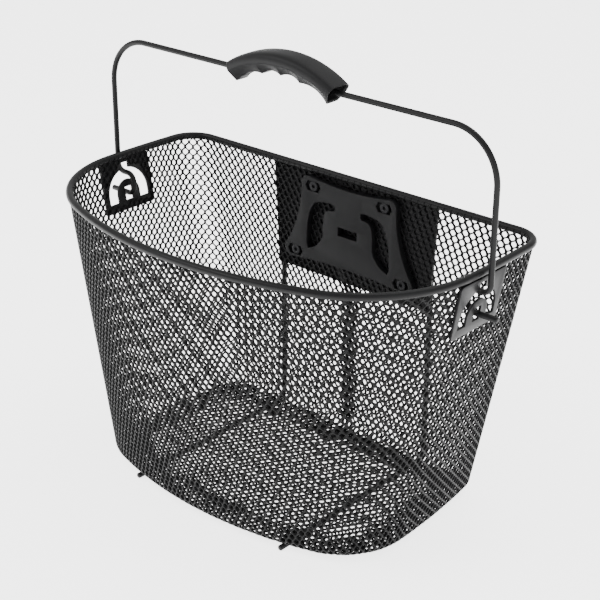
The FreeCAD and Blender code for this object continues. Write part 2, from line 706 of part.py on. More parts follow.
def hook_window(side):
    """One hook-shaped window of the clamp plate: shares of the plate's size, corners cut off."""
    top, low = clamp_top, clamp_low
    tall, wide = top - low, size("clamp_top_half")
    shares = ((0.27, 0.76), (0.68, 0.73), (0.80, 0.62), (0.86, 0.46), (0.88, 0.17), (0.68, 0.22),
              (0.52, 0.34), (0.52, 0.51), (0.49, 0.63), (0.42, 0.67), (0.27, 0.68))
    rounded = []
    for (x, z), (next_x, next_z) in zip(shares, shares[1:] + shares[:1]):
        for along in (0.2, 0.8):
            rounded.append((x + (next_x - x) * along, z + (next_z - z) * along))
    return [(wide * (across * side), low + tall * up) for across, up in rounded]


def make_inner_plate():
    """The clamp plate inside the basket: hollow sides, two hooked windows, four recesses."""
    body = new_body("inner_plate")
    face = rear_wall_y - sheet_thick
    thick = size("clamp_thick")
    outline = new_sketch(body, "outline", "XZ", -face)
    top, low = (size("clamp_top_half"), clamp_top), (size("clamp_low_half"), clamp_low)
    corners = ((-low[0], low[1]), low, top, (-top[0], top[1]))
    side_hollow = size("clamp_side_hollow")
    hollows = (size("clamp_low_hollow"), side_hollow, size("clamp_top_hollow"), side_hollow)
    middle = Vector(0, (top[1].number + low[1].number) / 2, 0)
    places = [Vector(x.number, z.number, 0) for x, z in corners]
    for start, end, hollow in zip(places, places[1:] + places[:1], hollows):
        chord = end - start
        outward = Vector(chord.y, -chord.x, 0).normalize()
        if outward.dot((start + end) * 0.5 - middle) < 0:
            outward = -outward
        sag = hollow.number - math.sqrt(hollow.number ** 2 - chord.Length ** 2 / 4)
        outline.addGeometry(Part.Arc(start, (start + end) * 0.5 - outward * sag, end))
    ends = []
    for index, (start, _) in enumerate(zip(places, places[1:] + places[:1])):
        first_is_start = outline.getPoint(index, 1).distanceToPoint(start) < 1e-6
        ends.append((1, 2) if first_is_start else (2, 1))
    for index in range(4):
        after = (index + 1) % 4
        outline.addConstraint(
            Sketcher.Constraint("Coincident", index, ends[index][1], after, ends[after][0]))
    for index, ((x, z), hollow) in enumerate(zip(corners, hollows)):
        fix_point(outline, index, ends[index][0], x, z)
        bind(outline, "Radius", index, dim=hollow)
    plate = pad(body, "plate", outline, thick)
    upright = [f"Edge{number + 1}" for number, edge in enumerate(plate.Shape.Edges)
               if len(edge.Vertexes) == 2
               and (edge.Vertexes[0].Point - edge.Vertexes[1].Point).cross(Vector(0, 1, 0)).Length < 1e-6]
    rounding = body.newObject("PartDesign::Fillet", "inner_plate_corners")
    rounding.Base = (plate, upright)
    rounding.Radius = size("clamp_corner").number
    rounding.setExpression("Radius", size("clamp_corner").formula)
    doc.recompute()
    windows = new_sketch(body, "window_outlines", "XZ", -face)
    for side in (-1, 1):
        polygon(windows, hook_window(side))
    middle_level = clamp_low + (clamp_top - clamp_low) * 0.475
    rectangle(windows, -10, middle_level - 3.7, 10, middle_level + 3.7)
    feature(body, "Pocket", "windows", windows, Length=thick * 2 + 2, Midplane=True)
    slots = new_sketch(body, "slot_outlines", "XZ", -face)
    recesses = new_sketch(body, "recess_outlines", "XZ", -face + thick)
    reach, tall = size("recess_half_length"), size("recess_half_height")
    for x, level in screw_places():
        half = size("slot_half_length")
        low_edge, high_edge = level - screw_hole_dia / 2, level + screw_hole_dia / 2
        rectangle(slots, x - half, low_edge, x + half, high_edge)
        shoulder = reach - tall * 0.6
        polygon(recesses, ((x - reach, level), (x - shoulder, level - tall),
                           (x + shoulder, level - tall), (x + reach, level),
                           (x + shoulder, level + tall), (x - shoulder, level + tall)))
    feature(body, "Pocket", "slots", slots, Length=thick * 2 + 2, Midplane=True)
    feature(body, "Pocket", "recesses", recesses, Length=size("clamp_recess"))


def make_adapter_body():
    """The adapter behind the backing plate: a base with a raised block and a slide channel."""
    body = new_body("adapter_body")
    face = rear_wall_y + size("backing_thick")
    high = screw_upper_level + size("adapter_margin")
    low = screw_lower_level - size("adapter_margin")
    base = new_sketch(body, "base_outline", "XZ", -face)
    top_half, low_half = size("adapter_top_half"), size("adapter_low_half")
    polygon(base, ((-low_half, low), (low_half, low), (top_half, high), (-top_half, high)))
    pad(body, "base", base, size("adapter_base"), Reversed=True)
    block = new_sketch(body, "block_outline", "XZ", -face)
    half = size("block_half_width")
    rectangle(block, -half, block_low, half, block_top)
    pad(body, "block", block, size("adapter_depth"), Reversed=True)
    channel = new_sketch(body, "channel_outline", "XY", block_low)
    outer = face + size("adapter_depth")
    mouth, wide = size("channel_mouth_half"), size("channel_half_width")
    lip, deep = outer - size("channel_lip"), outer - size("channel_depth")
    polygon(channel, ((-mouth, outer + 1), (-mouth, lip), (-wide, lip), (-wide, deep),
                      (wide, deep), (wide, lip), (mouth, lip), (mouth, outer + 1)))
    tall = block_top - block_low - size("channel_stop")
    feature(body, "Pocket", "channel", channel, Length=tall, Reversed=True)
    drill(body, face, "screw_holes", screw_hole_dia, size("adapter_base") + 1)


def make_fasteners():
    """Four sets of screw, washer and nut that clamp the rear wall between the plates."""
    head_face = rear_wall_y - sheet_thick - size("clamp_thick") + size("clamp_recess")
    washer_face = rear_wall_y + size("backing_thick") + size("adapter_base")
    nut_face = washer_face + size("washer_thick")
    nut_end = nut_face + size("nut_height")
    for number, (x, level) in enumerate(screw_places(), start=1):
        screw = new_body(f"clamp_screw_{number}")
        head = new_sketch(screw, "head", "XZ")
        circle(head, 0, 0, size("screw_head_dia"))
        pad(screw, "head_round", head, size("screw_head_height"))
        shank = new_sketch(screw, "shank", "XZ")
        circle(shank, 0, 0, size("screw_dia"))
        pad(screw, "shank_round", shank, nut_end - head_face + size("screw_end"), Reversed=True)
        hexagon_cut(screw, "socket", size("screw_head_height"), size("socket_across"),
                    size("screw_head_height") * 0.6)
        place(screw, x=x, y=head_face, z=level)

        washer = new_body(f"clamp_washer_{number}")
        ring = new_sketch(washer, "ring", "XZ")
        circle(ring, 0, 0, size("washer_dia"))
        circle(ring, 0, 0, screw_hole_dia)
        pad(washer, "disc", ring, size("washer_thick"), Reversed=True)
        place(washer, x=x, y=washer_face, z=level)

        nut = new_body(f"clamp_nut_{number}")
        outline = new_sketch(nut, "outline", "XZ")
        polygon(outline, hexagon(size("nut_across")))
        circle(outline, 0, 0, size("screw_dia") + 0.1)
        pad(nut, "prism", outline, size("nut_height"), Reversed=True)
        place(nut, x=x, y=nut_face, z=level)


def hexagon(across):
    """Corners of a regular hexagon with the given width across its flats."""
    corner = across / math.sqrt(3)
    turns = [math.radians(60 * step) for step in range(6)]
    return [(corner * math.cos(turn), corner * math.sin(turn)) for turn in turns]


def hexagon_cut(body, name, face, across, depth):
    """A hexagonal socket, cut inward from the screw head's outer face."""
    outline = new_sketch(body, name, "XZ", face)
    polygon(outline, hexagon(across))
    feature(body, "Pocket", f"{name}_cut", outline, Length=depth)


make_mesh_wall()
make_mesh_floor()
make_rim_wire()
make_stay(-1, "stay_wire_left")
make_stay(1, "stay_wire_right")
make_bracket(-1, "handle_bracket_left")
make_bracket(1, "handle_bracket_right")
make_handle_wire()
make_handle_grip()
make_backing_plate()
make_inner_plate()
make_adapter_body()
make_fasteners()
doc.recompute()

for item in doc.Objects:
    if "Invalid" in item.State or "Error" in item.State:
        raise RuntimeError(f"{item.Name} failed: {item.State}")
for sub_part in SUB_PARTS:
    if sub_part.Shape.isNull() or not sub_part.Shape.isValid():
        raise RuntimeError(f"{sub_part.Label} has no valid shape")
    if not sub_part.Shape.Solids:
        raise RuntimeError(f"{sub_part.Label} has no solid")

os.makedirs("parts", exist_ok=True)
for sub_part in SUB_PARTS:
    sub_part.Shape.exportStep(f"parts/{sub_part.Label}.step")
    box = sub_part.Shape.BoundBox
    print(f"{sub_part.Label:22s} solids {len(sub_part.Shape.Solids)} volume {sub_part.Shape.Volume:10.1f} "
          f"x {box.XMin:7.1f} {box.XMax:7.1f} y {box.YMin:7.1f} {box.YMax:7.1f} "
          f"z {box.ZMin:7.1f} {box.ZMax:7.1f}")
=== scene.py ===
# %% [markdown]
# # A handlebar basket
# The frame holds the basket's exact engineering solids. The cells below add what a camera and a
# hand would notice: the open mesh, the rolled rim, rounded mouldings, a shaped grip and finishes.
# Meshes are in metres, and every new mesh keeps its place in its own vertices.

# %% Load the frame
import json
import math

import bmesh
import bpy
import numpy as np
from mathutils import Matrix, Vector


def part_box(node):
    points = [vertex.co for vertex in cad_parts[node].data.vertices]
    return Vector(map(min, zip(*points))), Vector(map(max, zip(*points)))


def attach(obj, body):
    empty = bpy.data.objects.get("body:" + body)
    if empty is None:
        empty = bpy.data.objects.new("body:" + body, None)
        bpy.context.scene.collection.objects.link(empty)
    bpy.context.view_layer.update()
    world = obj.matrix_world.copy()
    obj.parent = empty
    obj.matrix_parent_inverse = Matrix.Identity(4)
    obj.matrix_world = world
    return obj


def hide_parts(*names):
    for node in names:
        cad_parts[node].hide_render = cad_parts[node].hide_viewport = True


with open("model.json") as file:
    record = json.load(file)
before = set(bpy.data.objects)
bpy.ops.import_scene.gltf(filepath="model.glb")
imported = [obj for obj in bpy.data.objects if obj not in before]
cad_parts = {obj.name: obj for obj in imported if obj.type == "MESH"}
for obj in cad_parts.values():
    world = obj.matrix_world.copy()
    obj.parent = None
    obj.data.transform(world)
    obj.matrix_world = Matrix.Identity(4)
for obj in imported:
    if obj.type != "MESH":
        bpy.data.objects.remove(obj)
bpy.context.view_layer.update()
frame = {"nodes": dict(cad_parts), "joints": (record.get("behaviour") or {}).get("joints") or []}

MM = 0.001

# %% [markdown]
# ## Finishes
# Powder coat is a thick baked paint. It has a soft sheen and a faint pebbled skin called orange
# peel. A painted look could be one flat colour, but then highlights would be perfectly clean, so
# a broad noise varies the colour and the roughness, and a fine one makes a small bump. Both read
# Object coordinates, which stay with the metal when the handle swings. The specular level is
# low, because a bright studio would otherwise turn thin black wires grey. Plastic, black oxide
# and zinc plate are the same recipe with other numbers.


# %% Material helper
def finish(name, colour, rough, spread=0.06, grain=900.0, bump=0.12, depth=0.00008,
           metallic=0.0, specular=0.16, coarse=60.0, tint=0.35):
    """A coated surface. A broad noise takes the colour down and up by the tint, and the
    roughness by the spread. A fine noise bumps it."""
    material = bpy.data.materials.new(name)
    material.use_nodes = True
    tree = material.node_tree
    shader = tree.nodes["Principled BSDF"]
    shader.inputs["Metallic"].default_value = metallic
    shader.inputs["Specular IOR Level"].default_value = specular
    place = tree.nodes.new("ShaderNodeTexCoord")

    def noise(scale, detail):
        """A noise read at the object's own coordinates times the scale."""
        node = tree.nodes.new("ShaderNodeTexNoise")
        node.inputs["Scale"].default_value = scale
        node.inputs["Detail"].default_value = detail
        tree.links.new(place.outputs["Object"], node.inputs["Vector"])
        return node

    fine, broad = noise(grain, 2.0), noise(coarse, 3.0)
    shade = tree.nodes.new("ShaderNodeMix")
    shade.data_type = "RGBA"
    dark = [channel * (1 - tint) for channel in colour]
    light = [min(1.0, channel * (1 + tint)) for channel in colour]
    shade.inputs[6].default_value = (*dark, 1)
    shade.inputs[7].default_value = (*light, 1)
    tree.links.new(broad.outputs["Fac"], shade.inputs[0])
    tree.links.new(shade.outputs[2], shader.inputs["Base Color"])
    sheen = tree.nodes.new("ShaderNodeMapRange")
    sheen.inputs["From Min"].default_value = 0.3
    sheen.inputs["From Max"].default_value = 0.7
    sheen.inputs["To Min"].default_value = rough - spread
    sheen.inputs["To Max"].default_value = rough + spread
    tree.links.new(broad.outputs["Fac"], sheen.inputs["Value"])
    tree.links.new(sheen.outputs["Result"], shader.inputs["Roughness"])
    relief = tree.nodes.new("ShaderNodeBump")
    relief.inputs["Strength"].default_value = bump
    relief.inputs["Distance"].default_value = depth
    tree.links.new(fine.outputs["Fac"], relief.inputs["Height"])
    tree.links.new(relief.outputs["Normal"], shader.inputs["Normal"])
    return material


powder_mesh = finish("powder coat on mesh", (0.003, 0.003, 0.0033), 0.50, grain=1400,
                     specular=0.12)
powder_wire = finish("powder coat on wire", (0.004, 0.004, 0.0043), 0.40, grain=1200)
powder_plate = finish("powder coat on plate", (0.005, 0.005, 0.0054), 0.42, grain=1100, bump=0.2)
moulded = finish("moulded plastic", (0.0045, 0.0046, 0.005), 0.50, grain=1500, bump=0.25)
grip_skin = finish("grip plastic", (0.005, 0.005, 0.0054), 0.47, grain=1800, bump=0.3, coarse=35)
black_oxide = finish("black oxide", (0.012, 0.012, 0.013), 0.34, metallic=0.5, grain=900)
zinc = finish("zinc plate", (0.52, 0.53, 0.55), 0.30, metallic=1.0, grain=500, tint=0.1)
print("finishes", len(bpy.data.materials))

# %% [markdown]
# ## Mesh building
# A mesh could be drawn by hand or made one vertex at a time. Here vertices and faces are worked
# out as whole arrays, and one helper puts them into Blender in a few fast calls.


# %% Mesh helper
def put(name, points, faces, material, body="basket"):
    """Make an object from an array of points and a list of face arrays."""
    mesh = bpy.data.meshes.new(name)
    faces = [np.asarray(block) for block in (faces if isinstance(faces, list) else [faces])]
    counts = np.concatenate([np.full(len(block), block.shape[1]) for block in faces])
    loops = np.concatenate([block.ravel() for block in faces])
    starts = np.concatenate([[0], np.cumsum(counts)[:-1]])
    mesh.vertices.add(len(points))
    mesh.vertices.foreach_set("co", np.asarray(points, dtype=np.float32).ravel())
    mesh.loops.add(len(loops))
    mesh.loops.foreach_set("vertex_index", loops.astype(np.int32))
    mesh.polygons.add(len(counts))
    mesh.polygons.foreach_set("loop_start", starts.astype(np.int32))
    mesh.polygons.foreach_set("use_smooth", np.full(len(counts), True))
    mesh.update(calc_edges=True)
    mesh.validate()
    mesh.materials.append(material)
    thing = bpy.data.objects.new(name, mesh)
    bpy.context.scene.collection.objects.link(thing)
    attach(thing, body)
    print(f"{name}: {len(points)} points, {len(counts)} faces")
    return thing


# %% [markdown]
# ## The basket's plan
# Seen from above, the wall is a D: a flat rear, tight rear corners, nearly straight sides, wide
# front corners and a bowed front. Each curve is an arc that starts where the last one ends. The
# same pieces are drawn at the floor and at the rim, and every point of the wall lies on a
# straight line between matching points of the two outlines. A freehand curve would bulge between
# its points, and arcs keep the corners true.

# %% Sizes of the shell
SHEET = 1.2 * MM
# The two outlines are in millimetres: half width, place of the widest point, rear line, front,
# and the radii of rear corner, side, front corner and front bow.
RIM = dict(half=184, widest=18, rear=95, front=116, radii=(24, 1200, 101, 324))
BASE = dict(half=145.5, widest=-19, rear=95, front=90, radii=(20, 618, 61, 347))
BEND = 8 * MM
FLANGE = 21 * MM
rim_low, rim_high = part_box("rim_wire")
FLOOR_Z, RIM_Z = 4.5 * MM, round(float(rim_low[2] + rim_high[2]) / 2, 5)
BEND_Z, TOP_Z = FLOOR_Z + BEND, RIM_Z - 2.6 * MM
RIM_R = 3 * MM


class Outline:
    """Half of a D-shaped plan: a line, then four tangent arcs, mirrored for the other half."""

    def __init__(self, half, widest, rear, front, radii):
        """Touching arcs have centres as far apart as their radii differ. That gives the rear
        corner's centre by Pythagoras, and the front corner's where two circles cross."""
        r1, r2, r3, r4 = np.array(radii) * MM
        half, widest, rear, front = half * MM, widest * MM, rear * MM, front * MM
        side = np.array([half - r2, widest])
        bow = np.array([0.0, r4 - front])
        rise = rear - r1 - widest
        corner = np.array([side[0] + math.sqrt((r2 - r1) ** 2 - rise ** 2), rear - r1])
        gap = bow - side
        span = np.hypot(*gap)
        along = ((r2 - r3) ** 2 - (r4 - r3) ** 2 + span ** 2) / (2 * span)
        across = math.sqrt((r2 - r3) ** 2 - along ** 2)
        unit = gap / span
        big = side + unit * along + np.array([unit[1], -unit[0]]) * across

        def angle(a, b):
            """Angle of the line from a to b: the arc tangent of its rise over its run."""
            return math.atan2(b[1] - a[1], b[0] - a[0])

        self.flat, self.rear = corner[0], rear
        self.centres = np.array([corner, side, big, bow])
        self.radii = np.array([r1, r2, r3, r4])
        self.turns = np.array([math.pi / 2, angle(side, corner), angle(side, big),
                               angle(bow, big), -math.pi / 2])
        self.lengths = np.append(self.flat, -np.diff(self.turns) * self.radii)

    def at(self, u, breaks, inset=0.0):
        """Point at share u round the plan, moved inward by inset: centre plus radius times
        the direction of the arc's running angle."""
        u = np.mod(u, 1.0)
        side = np.where(u > 0.5, -1.0, 1.0)
        w = np.where(u > 0.5, 1.0 - u, u)
        part = np.clip(np.searchsorted(breaks, w, side="right") - 1, 0, 4)
        share = (w - breaks[part]) / (breaks[part + 1] - breaks[part])
        arc = np.maximum(part - 1, 0)
        turn = self.turns[arc] + share * (self.turns[arc + 1] - self.turns[arc])
        radius = self.radii[arc] - inset
        x = self.centres[arc, 0] + radius * np.cos(turn)
        y = self.centres[arc, 1] + radius * np.sin(turn)
        line = part == 0
        x = np.where(line, share * self.flat, x)
        y = np.where(line, self.rear - inset, y)
        return side * x, y


rim_plan, base_plan = Outline(**RIM), Outline(**BASE)
SHRINK = round((BEND + FLANGE) / MM, 6)
flange_plan = Outline(half=BASE["half"] - SHRINK, widest=BASE["widest"],
                      rear=BASE["rear"] - SHRINK, front=BASE["front"] - SHRINK,
                      radii=(10, *(radius - SHRINK for radius in BASE["radii"][1:])))
mean = (rim_plan.lengths + base_plan.lengths) / 2
BREAKS = np.concatenate([[0], np.cumsum(mean)]) / mean.sum() / 2
LENGTH = mean.sum() * 2
SLANT = 218 * MM
print("wall length at mid height", LENGTH)

# %% [markdown]
# ## The wall's surface
# One sheet goes down the wall, round a bend and inward as a flange. So the surface is a function
# of two numbers: the share round the plan, and the distance up or down from the top of the bend.
# A tube shaped by hand could look the same, but it would give no exact place for each hole.


# %% Wall surface
def wall_point(u, d):
    """Point on the sheet's middle: above the bend a straight rule from floor to rim outline,
    then a quarter circle, then a flat flange."""
    mid = SHEET / 2
    share = np.clip(d / SLANT, 0, None)
    bx, by = base_plan.at(u, BREAKS, mid)
    rx, ry = rim_plan.at(u, BREAKS, mid)
    wall = np.stack([bx + (rx - bx) * share, by + (ry - by) * share,
                     BEND_Z + (TOP_Z - BEND_Z) * share], -1)
    radius = BEND - mid
    turn = np.clip(-d / radius, 0, math.pi / 2)
    inset = BEND - radius * np.cos(turn)
    cx, cy = base_plan.at(u, BREAKS, inset)
    bend = np.stack([cx, cy, BEND_Z - radius * np.sin(turn)], -1)
    run = np.maximum((-d - radius * math.pi / 2) / FLANGE, 0)
    ex, ey = base_plan.at(u, BREAKS, BEND)
    fx, fy = flange_plan.at(u, BREAKS)
    flange = np.stack([ex + (fx - ex) * run, ey + (fy - ey) * run,
                       np.full_like(ex, FLOOR_Z) + mid], -1)
    d = np.broadcast_to(d, u.shape)[..., None]
    return np.where(d >= 0, wall, np.where(d > -radius * math.pi / 2, bend, flange))


print("top of the wall at the rear", wall_point(np.zeros(1), np.full(1, SLANT))[0])


# %% [markdown]
# ## The open mesh
# The sheet is slit and stretched into rows of six-sided holes. The strands on a slant are thin,
# and the short upright joints between neighbours are thicker. A picture of holes would look flat
# from the side, and cutting thousands of holes with booleans would be slow. Instead each cell is
# one ring: twelve points on the cell's edge and twelve round its hole, on both sides of the
# sheet. Neighbours share their edge points, so the rings join into one sheet. Stretching turns
# the strands a little on edge, so the finished mesh is deeper than the sheet it is made from.

# %% Cell pattern
PITCH, ROW = 6.25 * MM, 4.45 * MM
JOINT = 0.85 * MM
STRAND, NODE = 0.56 * MM, 0.90 * MM
DEPTH = 1.6 * MM
CREST, EDGE = DEPTH / 2, DEPTH * 0.40
KEY_STEP = 0.02 * MM


def cell_rings():
    """Outer and inner ring of one cell: a hexagon with points up and down, and a hole whose
    corners are drawn in so that it looks rounded."""
    tall, half = ROW - JOINT, PITCH / 2
    corners = np.array([[0, tall], [-half, JOINT], [-half, -JOINT], [0, -tall], [half, -JOINT],
                        [half, JOINT]])
    outer = np.empty((12, 2))
    outer[0::2] = corners
    outer[1::2] = (corners + np.roll(corners, -1, 0)) / 2
    slant = np.array([half, tall - JOINT])
    normal = np.array([slant[1], slant[0]]) / np.hypot(*slant)
    inner = outer.copy()
    inner[0], inner[6] = [0, tall - STRAND * 1.55], [0, -tall + STRAND * 1.55]
    for index, sx, sy in ((1, -1, 1), (5, -1, -1), (7, 1, -1), (11, 1, 1)):
        inner[index] = outer[index] - normal * (sx, sy) * STRAND
    for index, sx, sy in ((2, -1, 1), (4, -1, -1), (8, 1, -1), (10, 1, 1)):
        inner[index] = [sx * (half - NODE * 1.12), sy * JOINT * 1.15]
    inner[3], inner[9] = [-half + NODE, 0], [half - NODE, 0]
    return outer, inner


print("cell", PITCH, "by", ROW)


# %% Rings into a sheet
def perforate(name, centres, surface, turn):
    """Mesh one ring per centre, on a surface given as a function of the flat sheet's place and
    the height above the sheet's middle. Edges that no neighbour shares get a closing face."""
    outer, inner = cell_rings()
    spin = np.array([[math.cos(turn), math.sin(turn)], [-math.sin(turn), math.cos(turn)]])
    rim_xy = centres[:, None] + outer @ spin
    hole_xy = centres[:, None] + inner @ spin
    count = len(centres)
    keys = np.round(rim_xy.reshape(-1, 2) / KEY_STEP).astype(np.int64)
    code = keys[:, 0] * 4_000_003 + keys[:, 1]
    _, first, shared = np.unique(code, return_index=True, return_inverse=True)
    shared = shared.reshape(count, 12)
    flat_rim, flat_hole = rim_xy.reshape(-1, 2)[first], hole_xy.reshape(-1, 2)
    layers = [surface(flat_rim, CREST), surface(flat_rim, -CREST),
              surface(flat_hole, EDGE), surface(flat_hole, -EDGE)]
    rims, holes = len(flat_rim), len(flat_hole)
    hole = np.arange(holes).reshape(count, 12) + 2 * rims
    top, low = shared, shared + rims
    hole_top, hole_low = hole, hole + holes

    def band(a, b):
        """Faces between two rings: a point, the next one, and the same two on the other."""
        return np.stack([a, np.roll(a, -1, 1), np.roll(b, -1, 1), b], -1).reshape(-1, 4)

    blocks = [band(top, hole_top), band(hole_top, hole_low), band(hole_low, low)]
    a, b = top.ravel(), np.roll(top, -1, 1).ravel()
    alone = ~np.isin(a * rims + b, b * rims + a)
    blocks.append(np.stack([b[alone], a[alone], a[alone] + rims, b[alone] + rims], -1))
    return put(name, np.concatenate(layers), blocks, powder_mesh)


# %% Places of the cells
def lattice(low, high, turn):
    """Centres of a staggered lattice, turned: even steps along each row, with every other row
    shifted by half a step."""
    reach = max(np.abs(low).max(), np.abs(high).max()) * 1.5
    rows = np.arange(-int(reach / ROW), int(reach / ROW) + 1)
    steps = np.arange(-int(reach / PITCH), int(reach / PITCH) + 1)
    col, row = np.meshgrid(steps, rows)
    flat = np.stack([(col + 0.5 * (row % 2)) * PITCH, row * ROW], -1).reshape(-1, 2)
    spin = np.array([[math.cos(turn), math.sin(turn)], [-math.sin(turn), math.cos(turn)]])
    flat = flat @ spin
    return flat[np.all((flat > low) & (flat < high), 1)]


print("cells in a square decimetre", len(lattice(np.zeros(2), np.full(2, 0.1), 0.0)))

# %% [markdown]
# ## Wrapping the mesh
# The flat pattern is wrapped round the wall like a label, a little turned, as the real sheet is.
# A curve modifier could bend it round one outline, but this wall has another outline at each
# height. The last stretch lies over the first, which makes the seam at the rear. Cells behind
# the brackets' windows are left out. The wall is four pieces, so none has too many faces.

# %% Wrapped sheet
BIAS = math.radians(-9.0)
SEAM_HALF = 6.5 * MM
CLIMB_START, CLIMB_RUN = 16 * MM, 8 * MM
LAP_TOP = (RIM_Z - 94 * MM - BEND_Z) * SLANT / (TOP_Z - BEND_Z)


def sheet_surface(flat, height):
    """Wrap the flat sheet round the plan. The last stretch climbs over the first one by just
    over a sheet's thickness, and height is measured along the surface's normal, which is the
    cross product of a small step up the sheet and a small step round it."""
    u, d = flat[:, 0] / LENGTH, flat[:, 1]
    climb = np.clip((flat[:, 0] - (LENGTH - CLIMB_START)) / CLIMB_RUN, 0, 1) * SHEET * 1.04
    step = 0.2 * MM
    here = wall_point(u, d)
    du = wall_point(u + step / LENGTH, d) - wall_point(u - step / LENGTH, d)
    dd = wall_point(u, d + step) - wall_point(u, d - step)
    normal = np.cross(dd, du)
    normal /= np.linalg.norm(normal, axis=1)[:, None]
    return here + normal * (height + climb)[:, None]


print("seam reaches", LAP_TOP)

# %% Bracket windows
PIVOT = np.array(frame["joints"][0]["pos_m"], float)
WINDOW_R, WINDOW_LEG = 22 * MM, 6.6 * MM
NOTCH_HALF, NOTCH_TOP = 3.6 * MM, 27 * MM
SIDE_ONLY = 120 * MM
CLEAR = 2.8 * MM


def in_window(point, grow):
    """True inside a bracket's arched window and its notch, seen from the side."""
    y, z = point[:, 1] - PIVOT[1], point[:, 2] - PIVOT[2]
    radius = WINDOW_R + grow
    round_part = (np.hypot(y, z) < radius) & (z >= 0)
    legs = (np.abs(y) < radius) & (z < 0) & (z > -WINDOW_LEG - grow)
    notch = (np.abs(y) < NOTCH_HALF + grow) & (z > 0) & (z < NOTCH_TOP + grow)
    return (round_part | legs | notch) & (np.abs(point[:, 0]) > SIDE_ONLY)


print("handle pivot", PIVOT)

# %% Wall pieces
bottom = -(BEND * math.pi / 2 + FLANGE - 3 * MM)
cells = lattice(np.array([-SEAM_HALF, bottom]), np.array([LENGTH + SEAM_HALF, SLANT + 1.5 * MM]),
                BIAS)
lapped = (cells[:, 0] > LENGTH - 3 * MM) & (cells[:, 1] > LAP_TOP)
cells = cells[~lapped]
spots = wall_point(cells[:, 0] / LENGTH, cells[:, 1])
cells = cells[~in_window(spots, CLEAR)]
print("wall cells", len(cells))
quarters = np.clip((cells[:, 0] / LENGTH * 4).astype(int), 0, 3)
wall_pieces = [perforate(f"wall_mesh_{part}", cells[quarters == number], sheet_surface, BIAS)
               for number, part in enumerate(("rear_right", "front_right", "front_left",
                                              "rear_left"))]
for piece in wall_pieces:
    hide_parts("mesh_wall")

# %% [markdown]
# ## The floor
# The floor is a flat panel of the same mesh, laid on the flange and welded. Round its edge two
# layers of mesh lie on each other, and that band looks darker than the middle. Trimming a bigger
# panel with a boolean would leave slivers, so whole cells are laid flat, and the ones outside
# the plan are dropped.


# %% Floor mesh
def inside_plan(points, plan, inset):
    """True for the points inside a plan: count how often a ray to the right crosses it."""
    x, y = plan.at(np.linspace(0, 1, 721)[:-1], BREAKS, inset)
    x2, y2 = np.roll(x, -1), np.roll(y, -1)
    px, py = points[:, :1], points[:, 1:]
    crosses = (y > py) != (y2 > py)
    where = x + (py - y) * (x2 - x) / np.where(y2 == y, 1e-9, y2 - y)
    return np.sum(crosses & (px < where), 1) % 2 == 1


FLOOR_TURN = math.radians(3)
FLOOR_REACH = np.array([0.15, 0.10])
floor_cells = lattice(-FLOOR_REACH, FLOOR_REACH, FLOOR_TURN)
floor_cells = floor_cells[inside_plan(floor_cells, base_plan, BEND - 1.5 * MM)]
floor_level = FLOOR_Z + SHEET * 1.5


def floor_surface(flat, height):
    """The level panel: the flat place, at the floor's height plus the height above its middle."""
    return np.column_stack([flat, np.full(len(flat), floor_level + height)])


floor_mesh = perforate("floor_mesh", floor_cells, floor_surface, FLOOR_TURN)
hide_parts("mesh_floor")

# %% [markdown]
# ## Tubes along a path
# Rim, supports, handle and the folded ends of the mesh are all wires. A wire is a circle carried
# along a path: at each point two directions across the path carry the circle's cosine and sine.
# A bevelled curve would look the same, but its ends and its number of faces are harder to set.


# %% Tube helper
def tube(name, path, radius, material, closed=False, sides=20, across=None, body="basket"):
    """Sweep a circle along a path. The first direction across is a fixed vector made square to
    the path, and the second is their cross product. Open ends narrow a little to a cap."""
    path = np.asarray(path, float)
    across = np.array(across if across is not None else (0, 0, 1), float)
    if closed:
        along = np.roll(path, -1, 0) - np.roll(path, 1, 0)
    else:
        along = np.gradient(path, axis=0)
    along /= np.linalg.norm(along, axis=1)[:, None]
    first = across - along * (along @ across)[:, None]
    first /= np.linalg.norm(first, axis=1)[:, None]
    second = np.cross(along, first)
    size = np.full(len(path), radius)
    if not closed:
        soft = radius * 0.25
        path = np.concatenate([path[:1], path[:1] + along[:1] * soft, path[1:-1],
                               path[-1:] - along[-1:] * soft, path[-1:]])
        first, second, size = (np.concatenate([rows[:1], rows, rows[-1:]])
                               for rows in (first, second, size))
        size[0] = size[-1] = radius - soft
    angle = np.linspace(0, 2 * math.pi, sides, endpoint=False)
    wheel = (first[:, None] * np.cos(angle)[:, None] + second[:, None] * np.sin(angle)[:, None])
    points = (path[:, None] + wheel * size[:, None, None]).reshape(-1, 3)
    count = len(path)
    rows = np.arange(count if closed else count - 1)
    i, j = np.meshgrid(rows, np.arange(sides), indexing="ij")
    nxt, k = (i + 1) % count, (j + 1) % sides
    faces = [np.stack([i * sides + j, nxt * sides + j, nxt * sides + k, i * sides + k], -1)
             .reshape(-1, 4)]
    if not closed:
        faces.append(np.arange(sides)[None])
        faces.append(((count - 1) * sides + np.arange(sides))[::-1][None])
    faces = [block[:, ::-1] for block in faces]
    return put(name, points, faces, material, body=body)


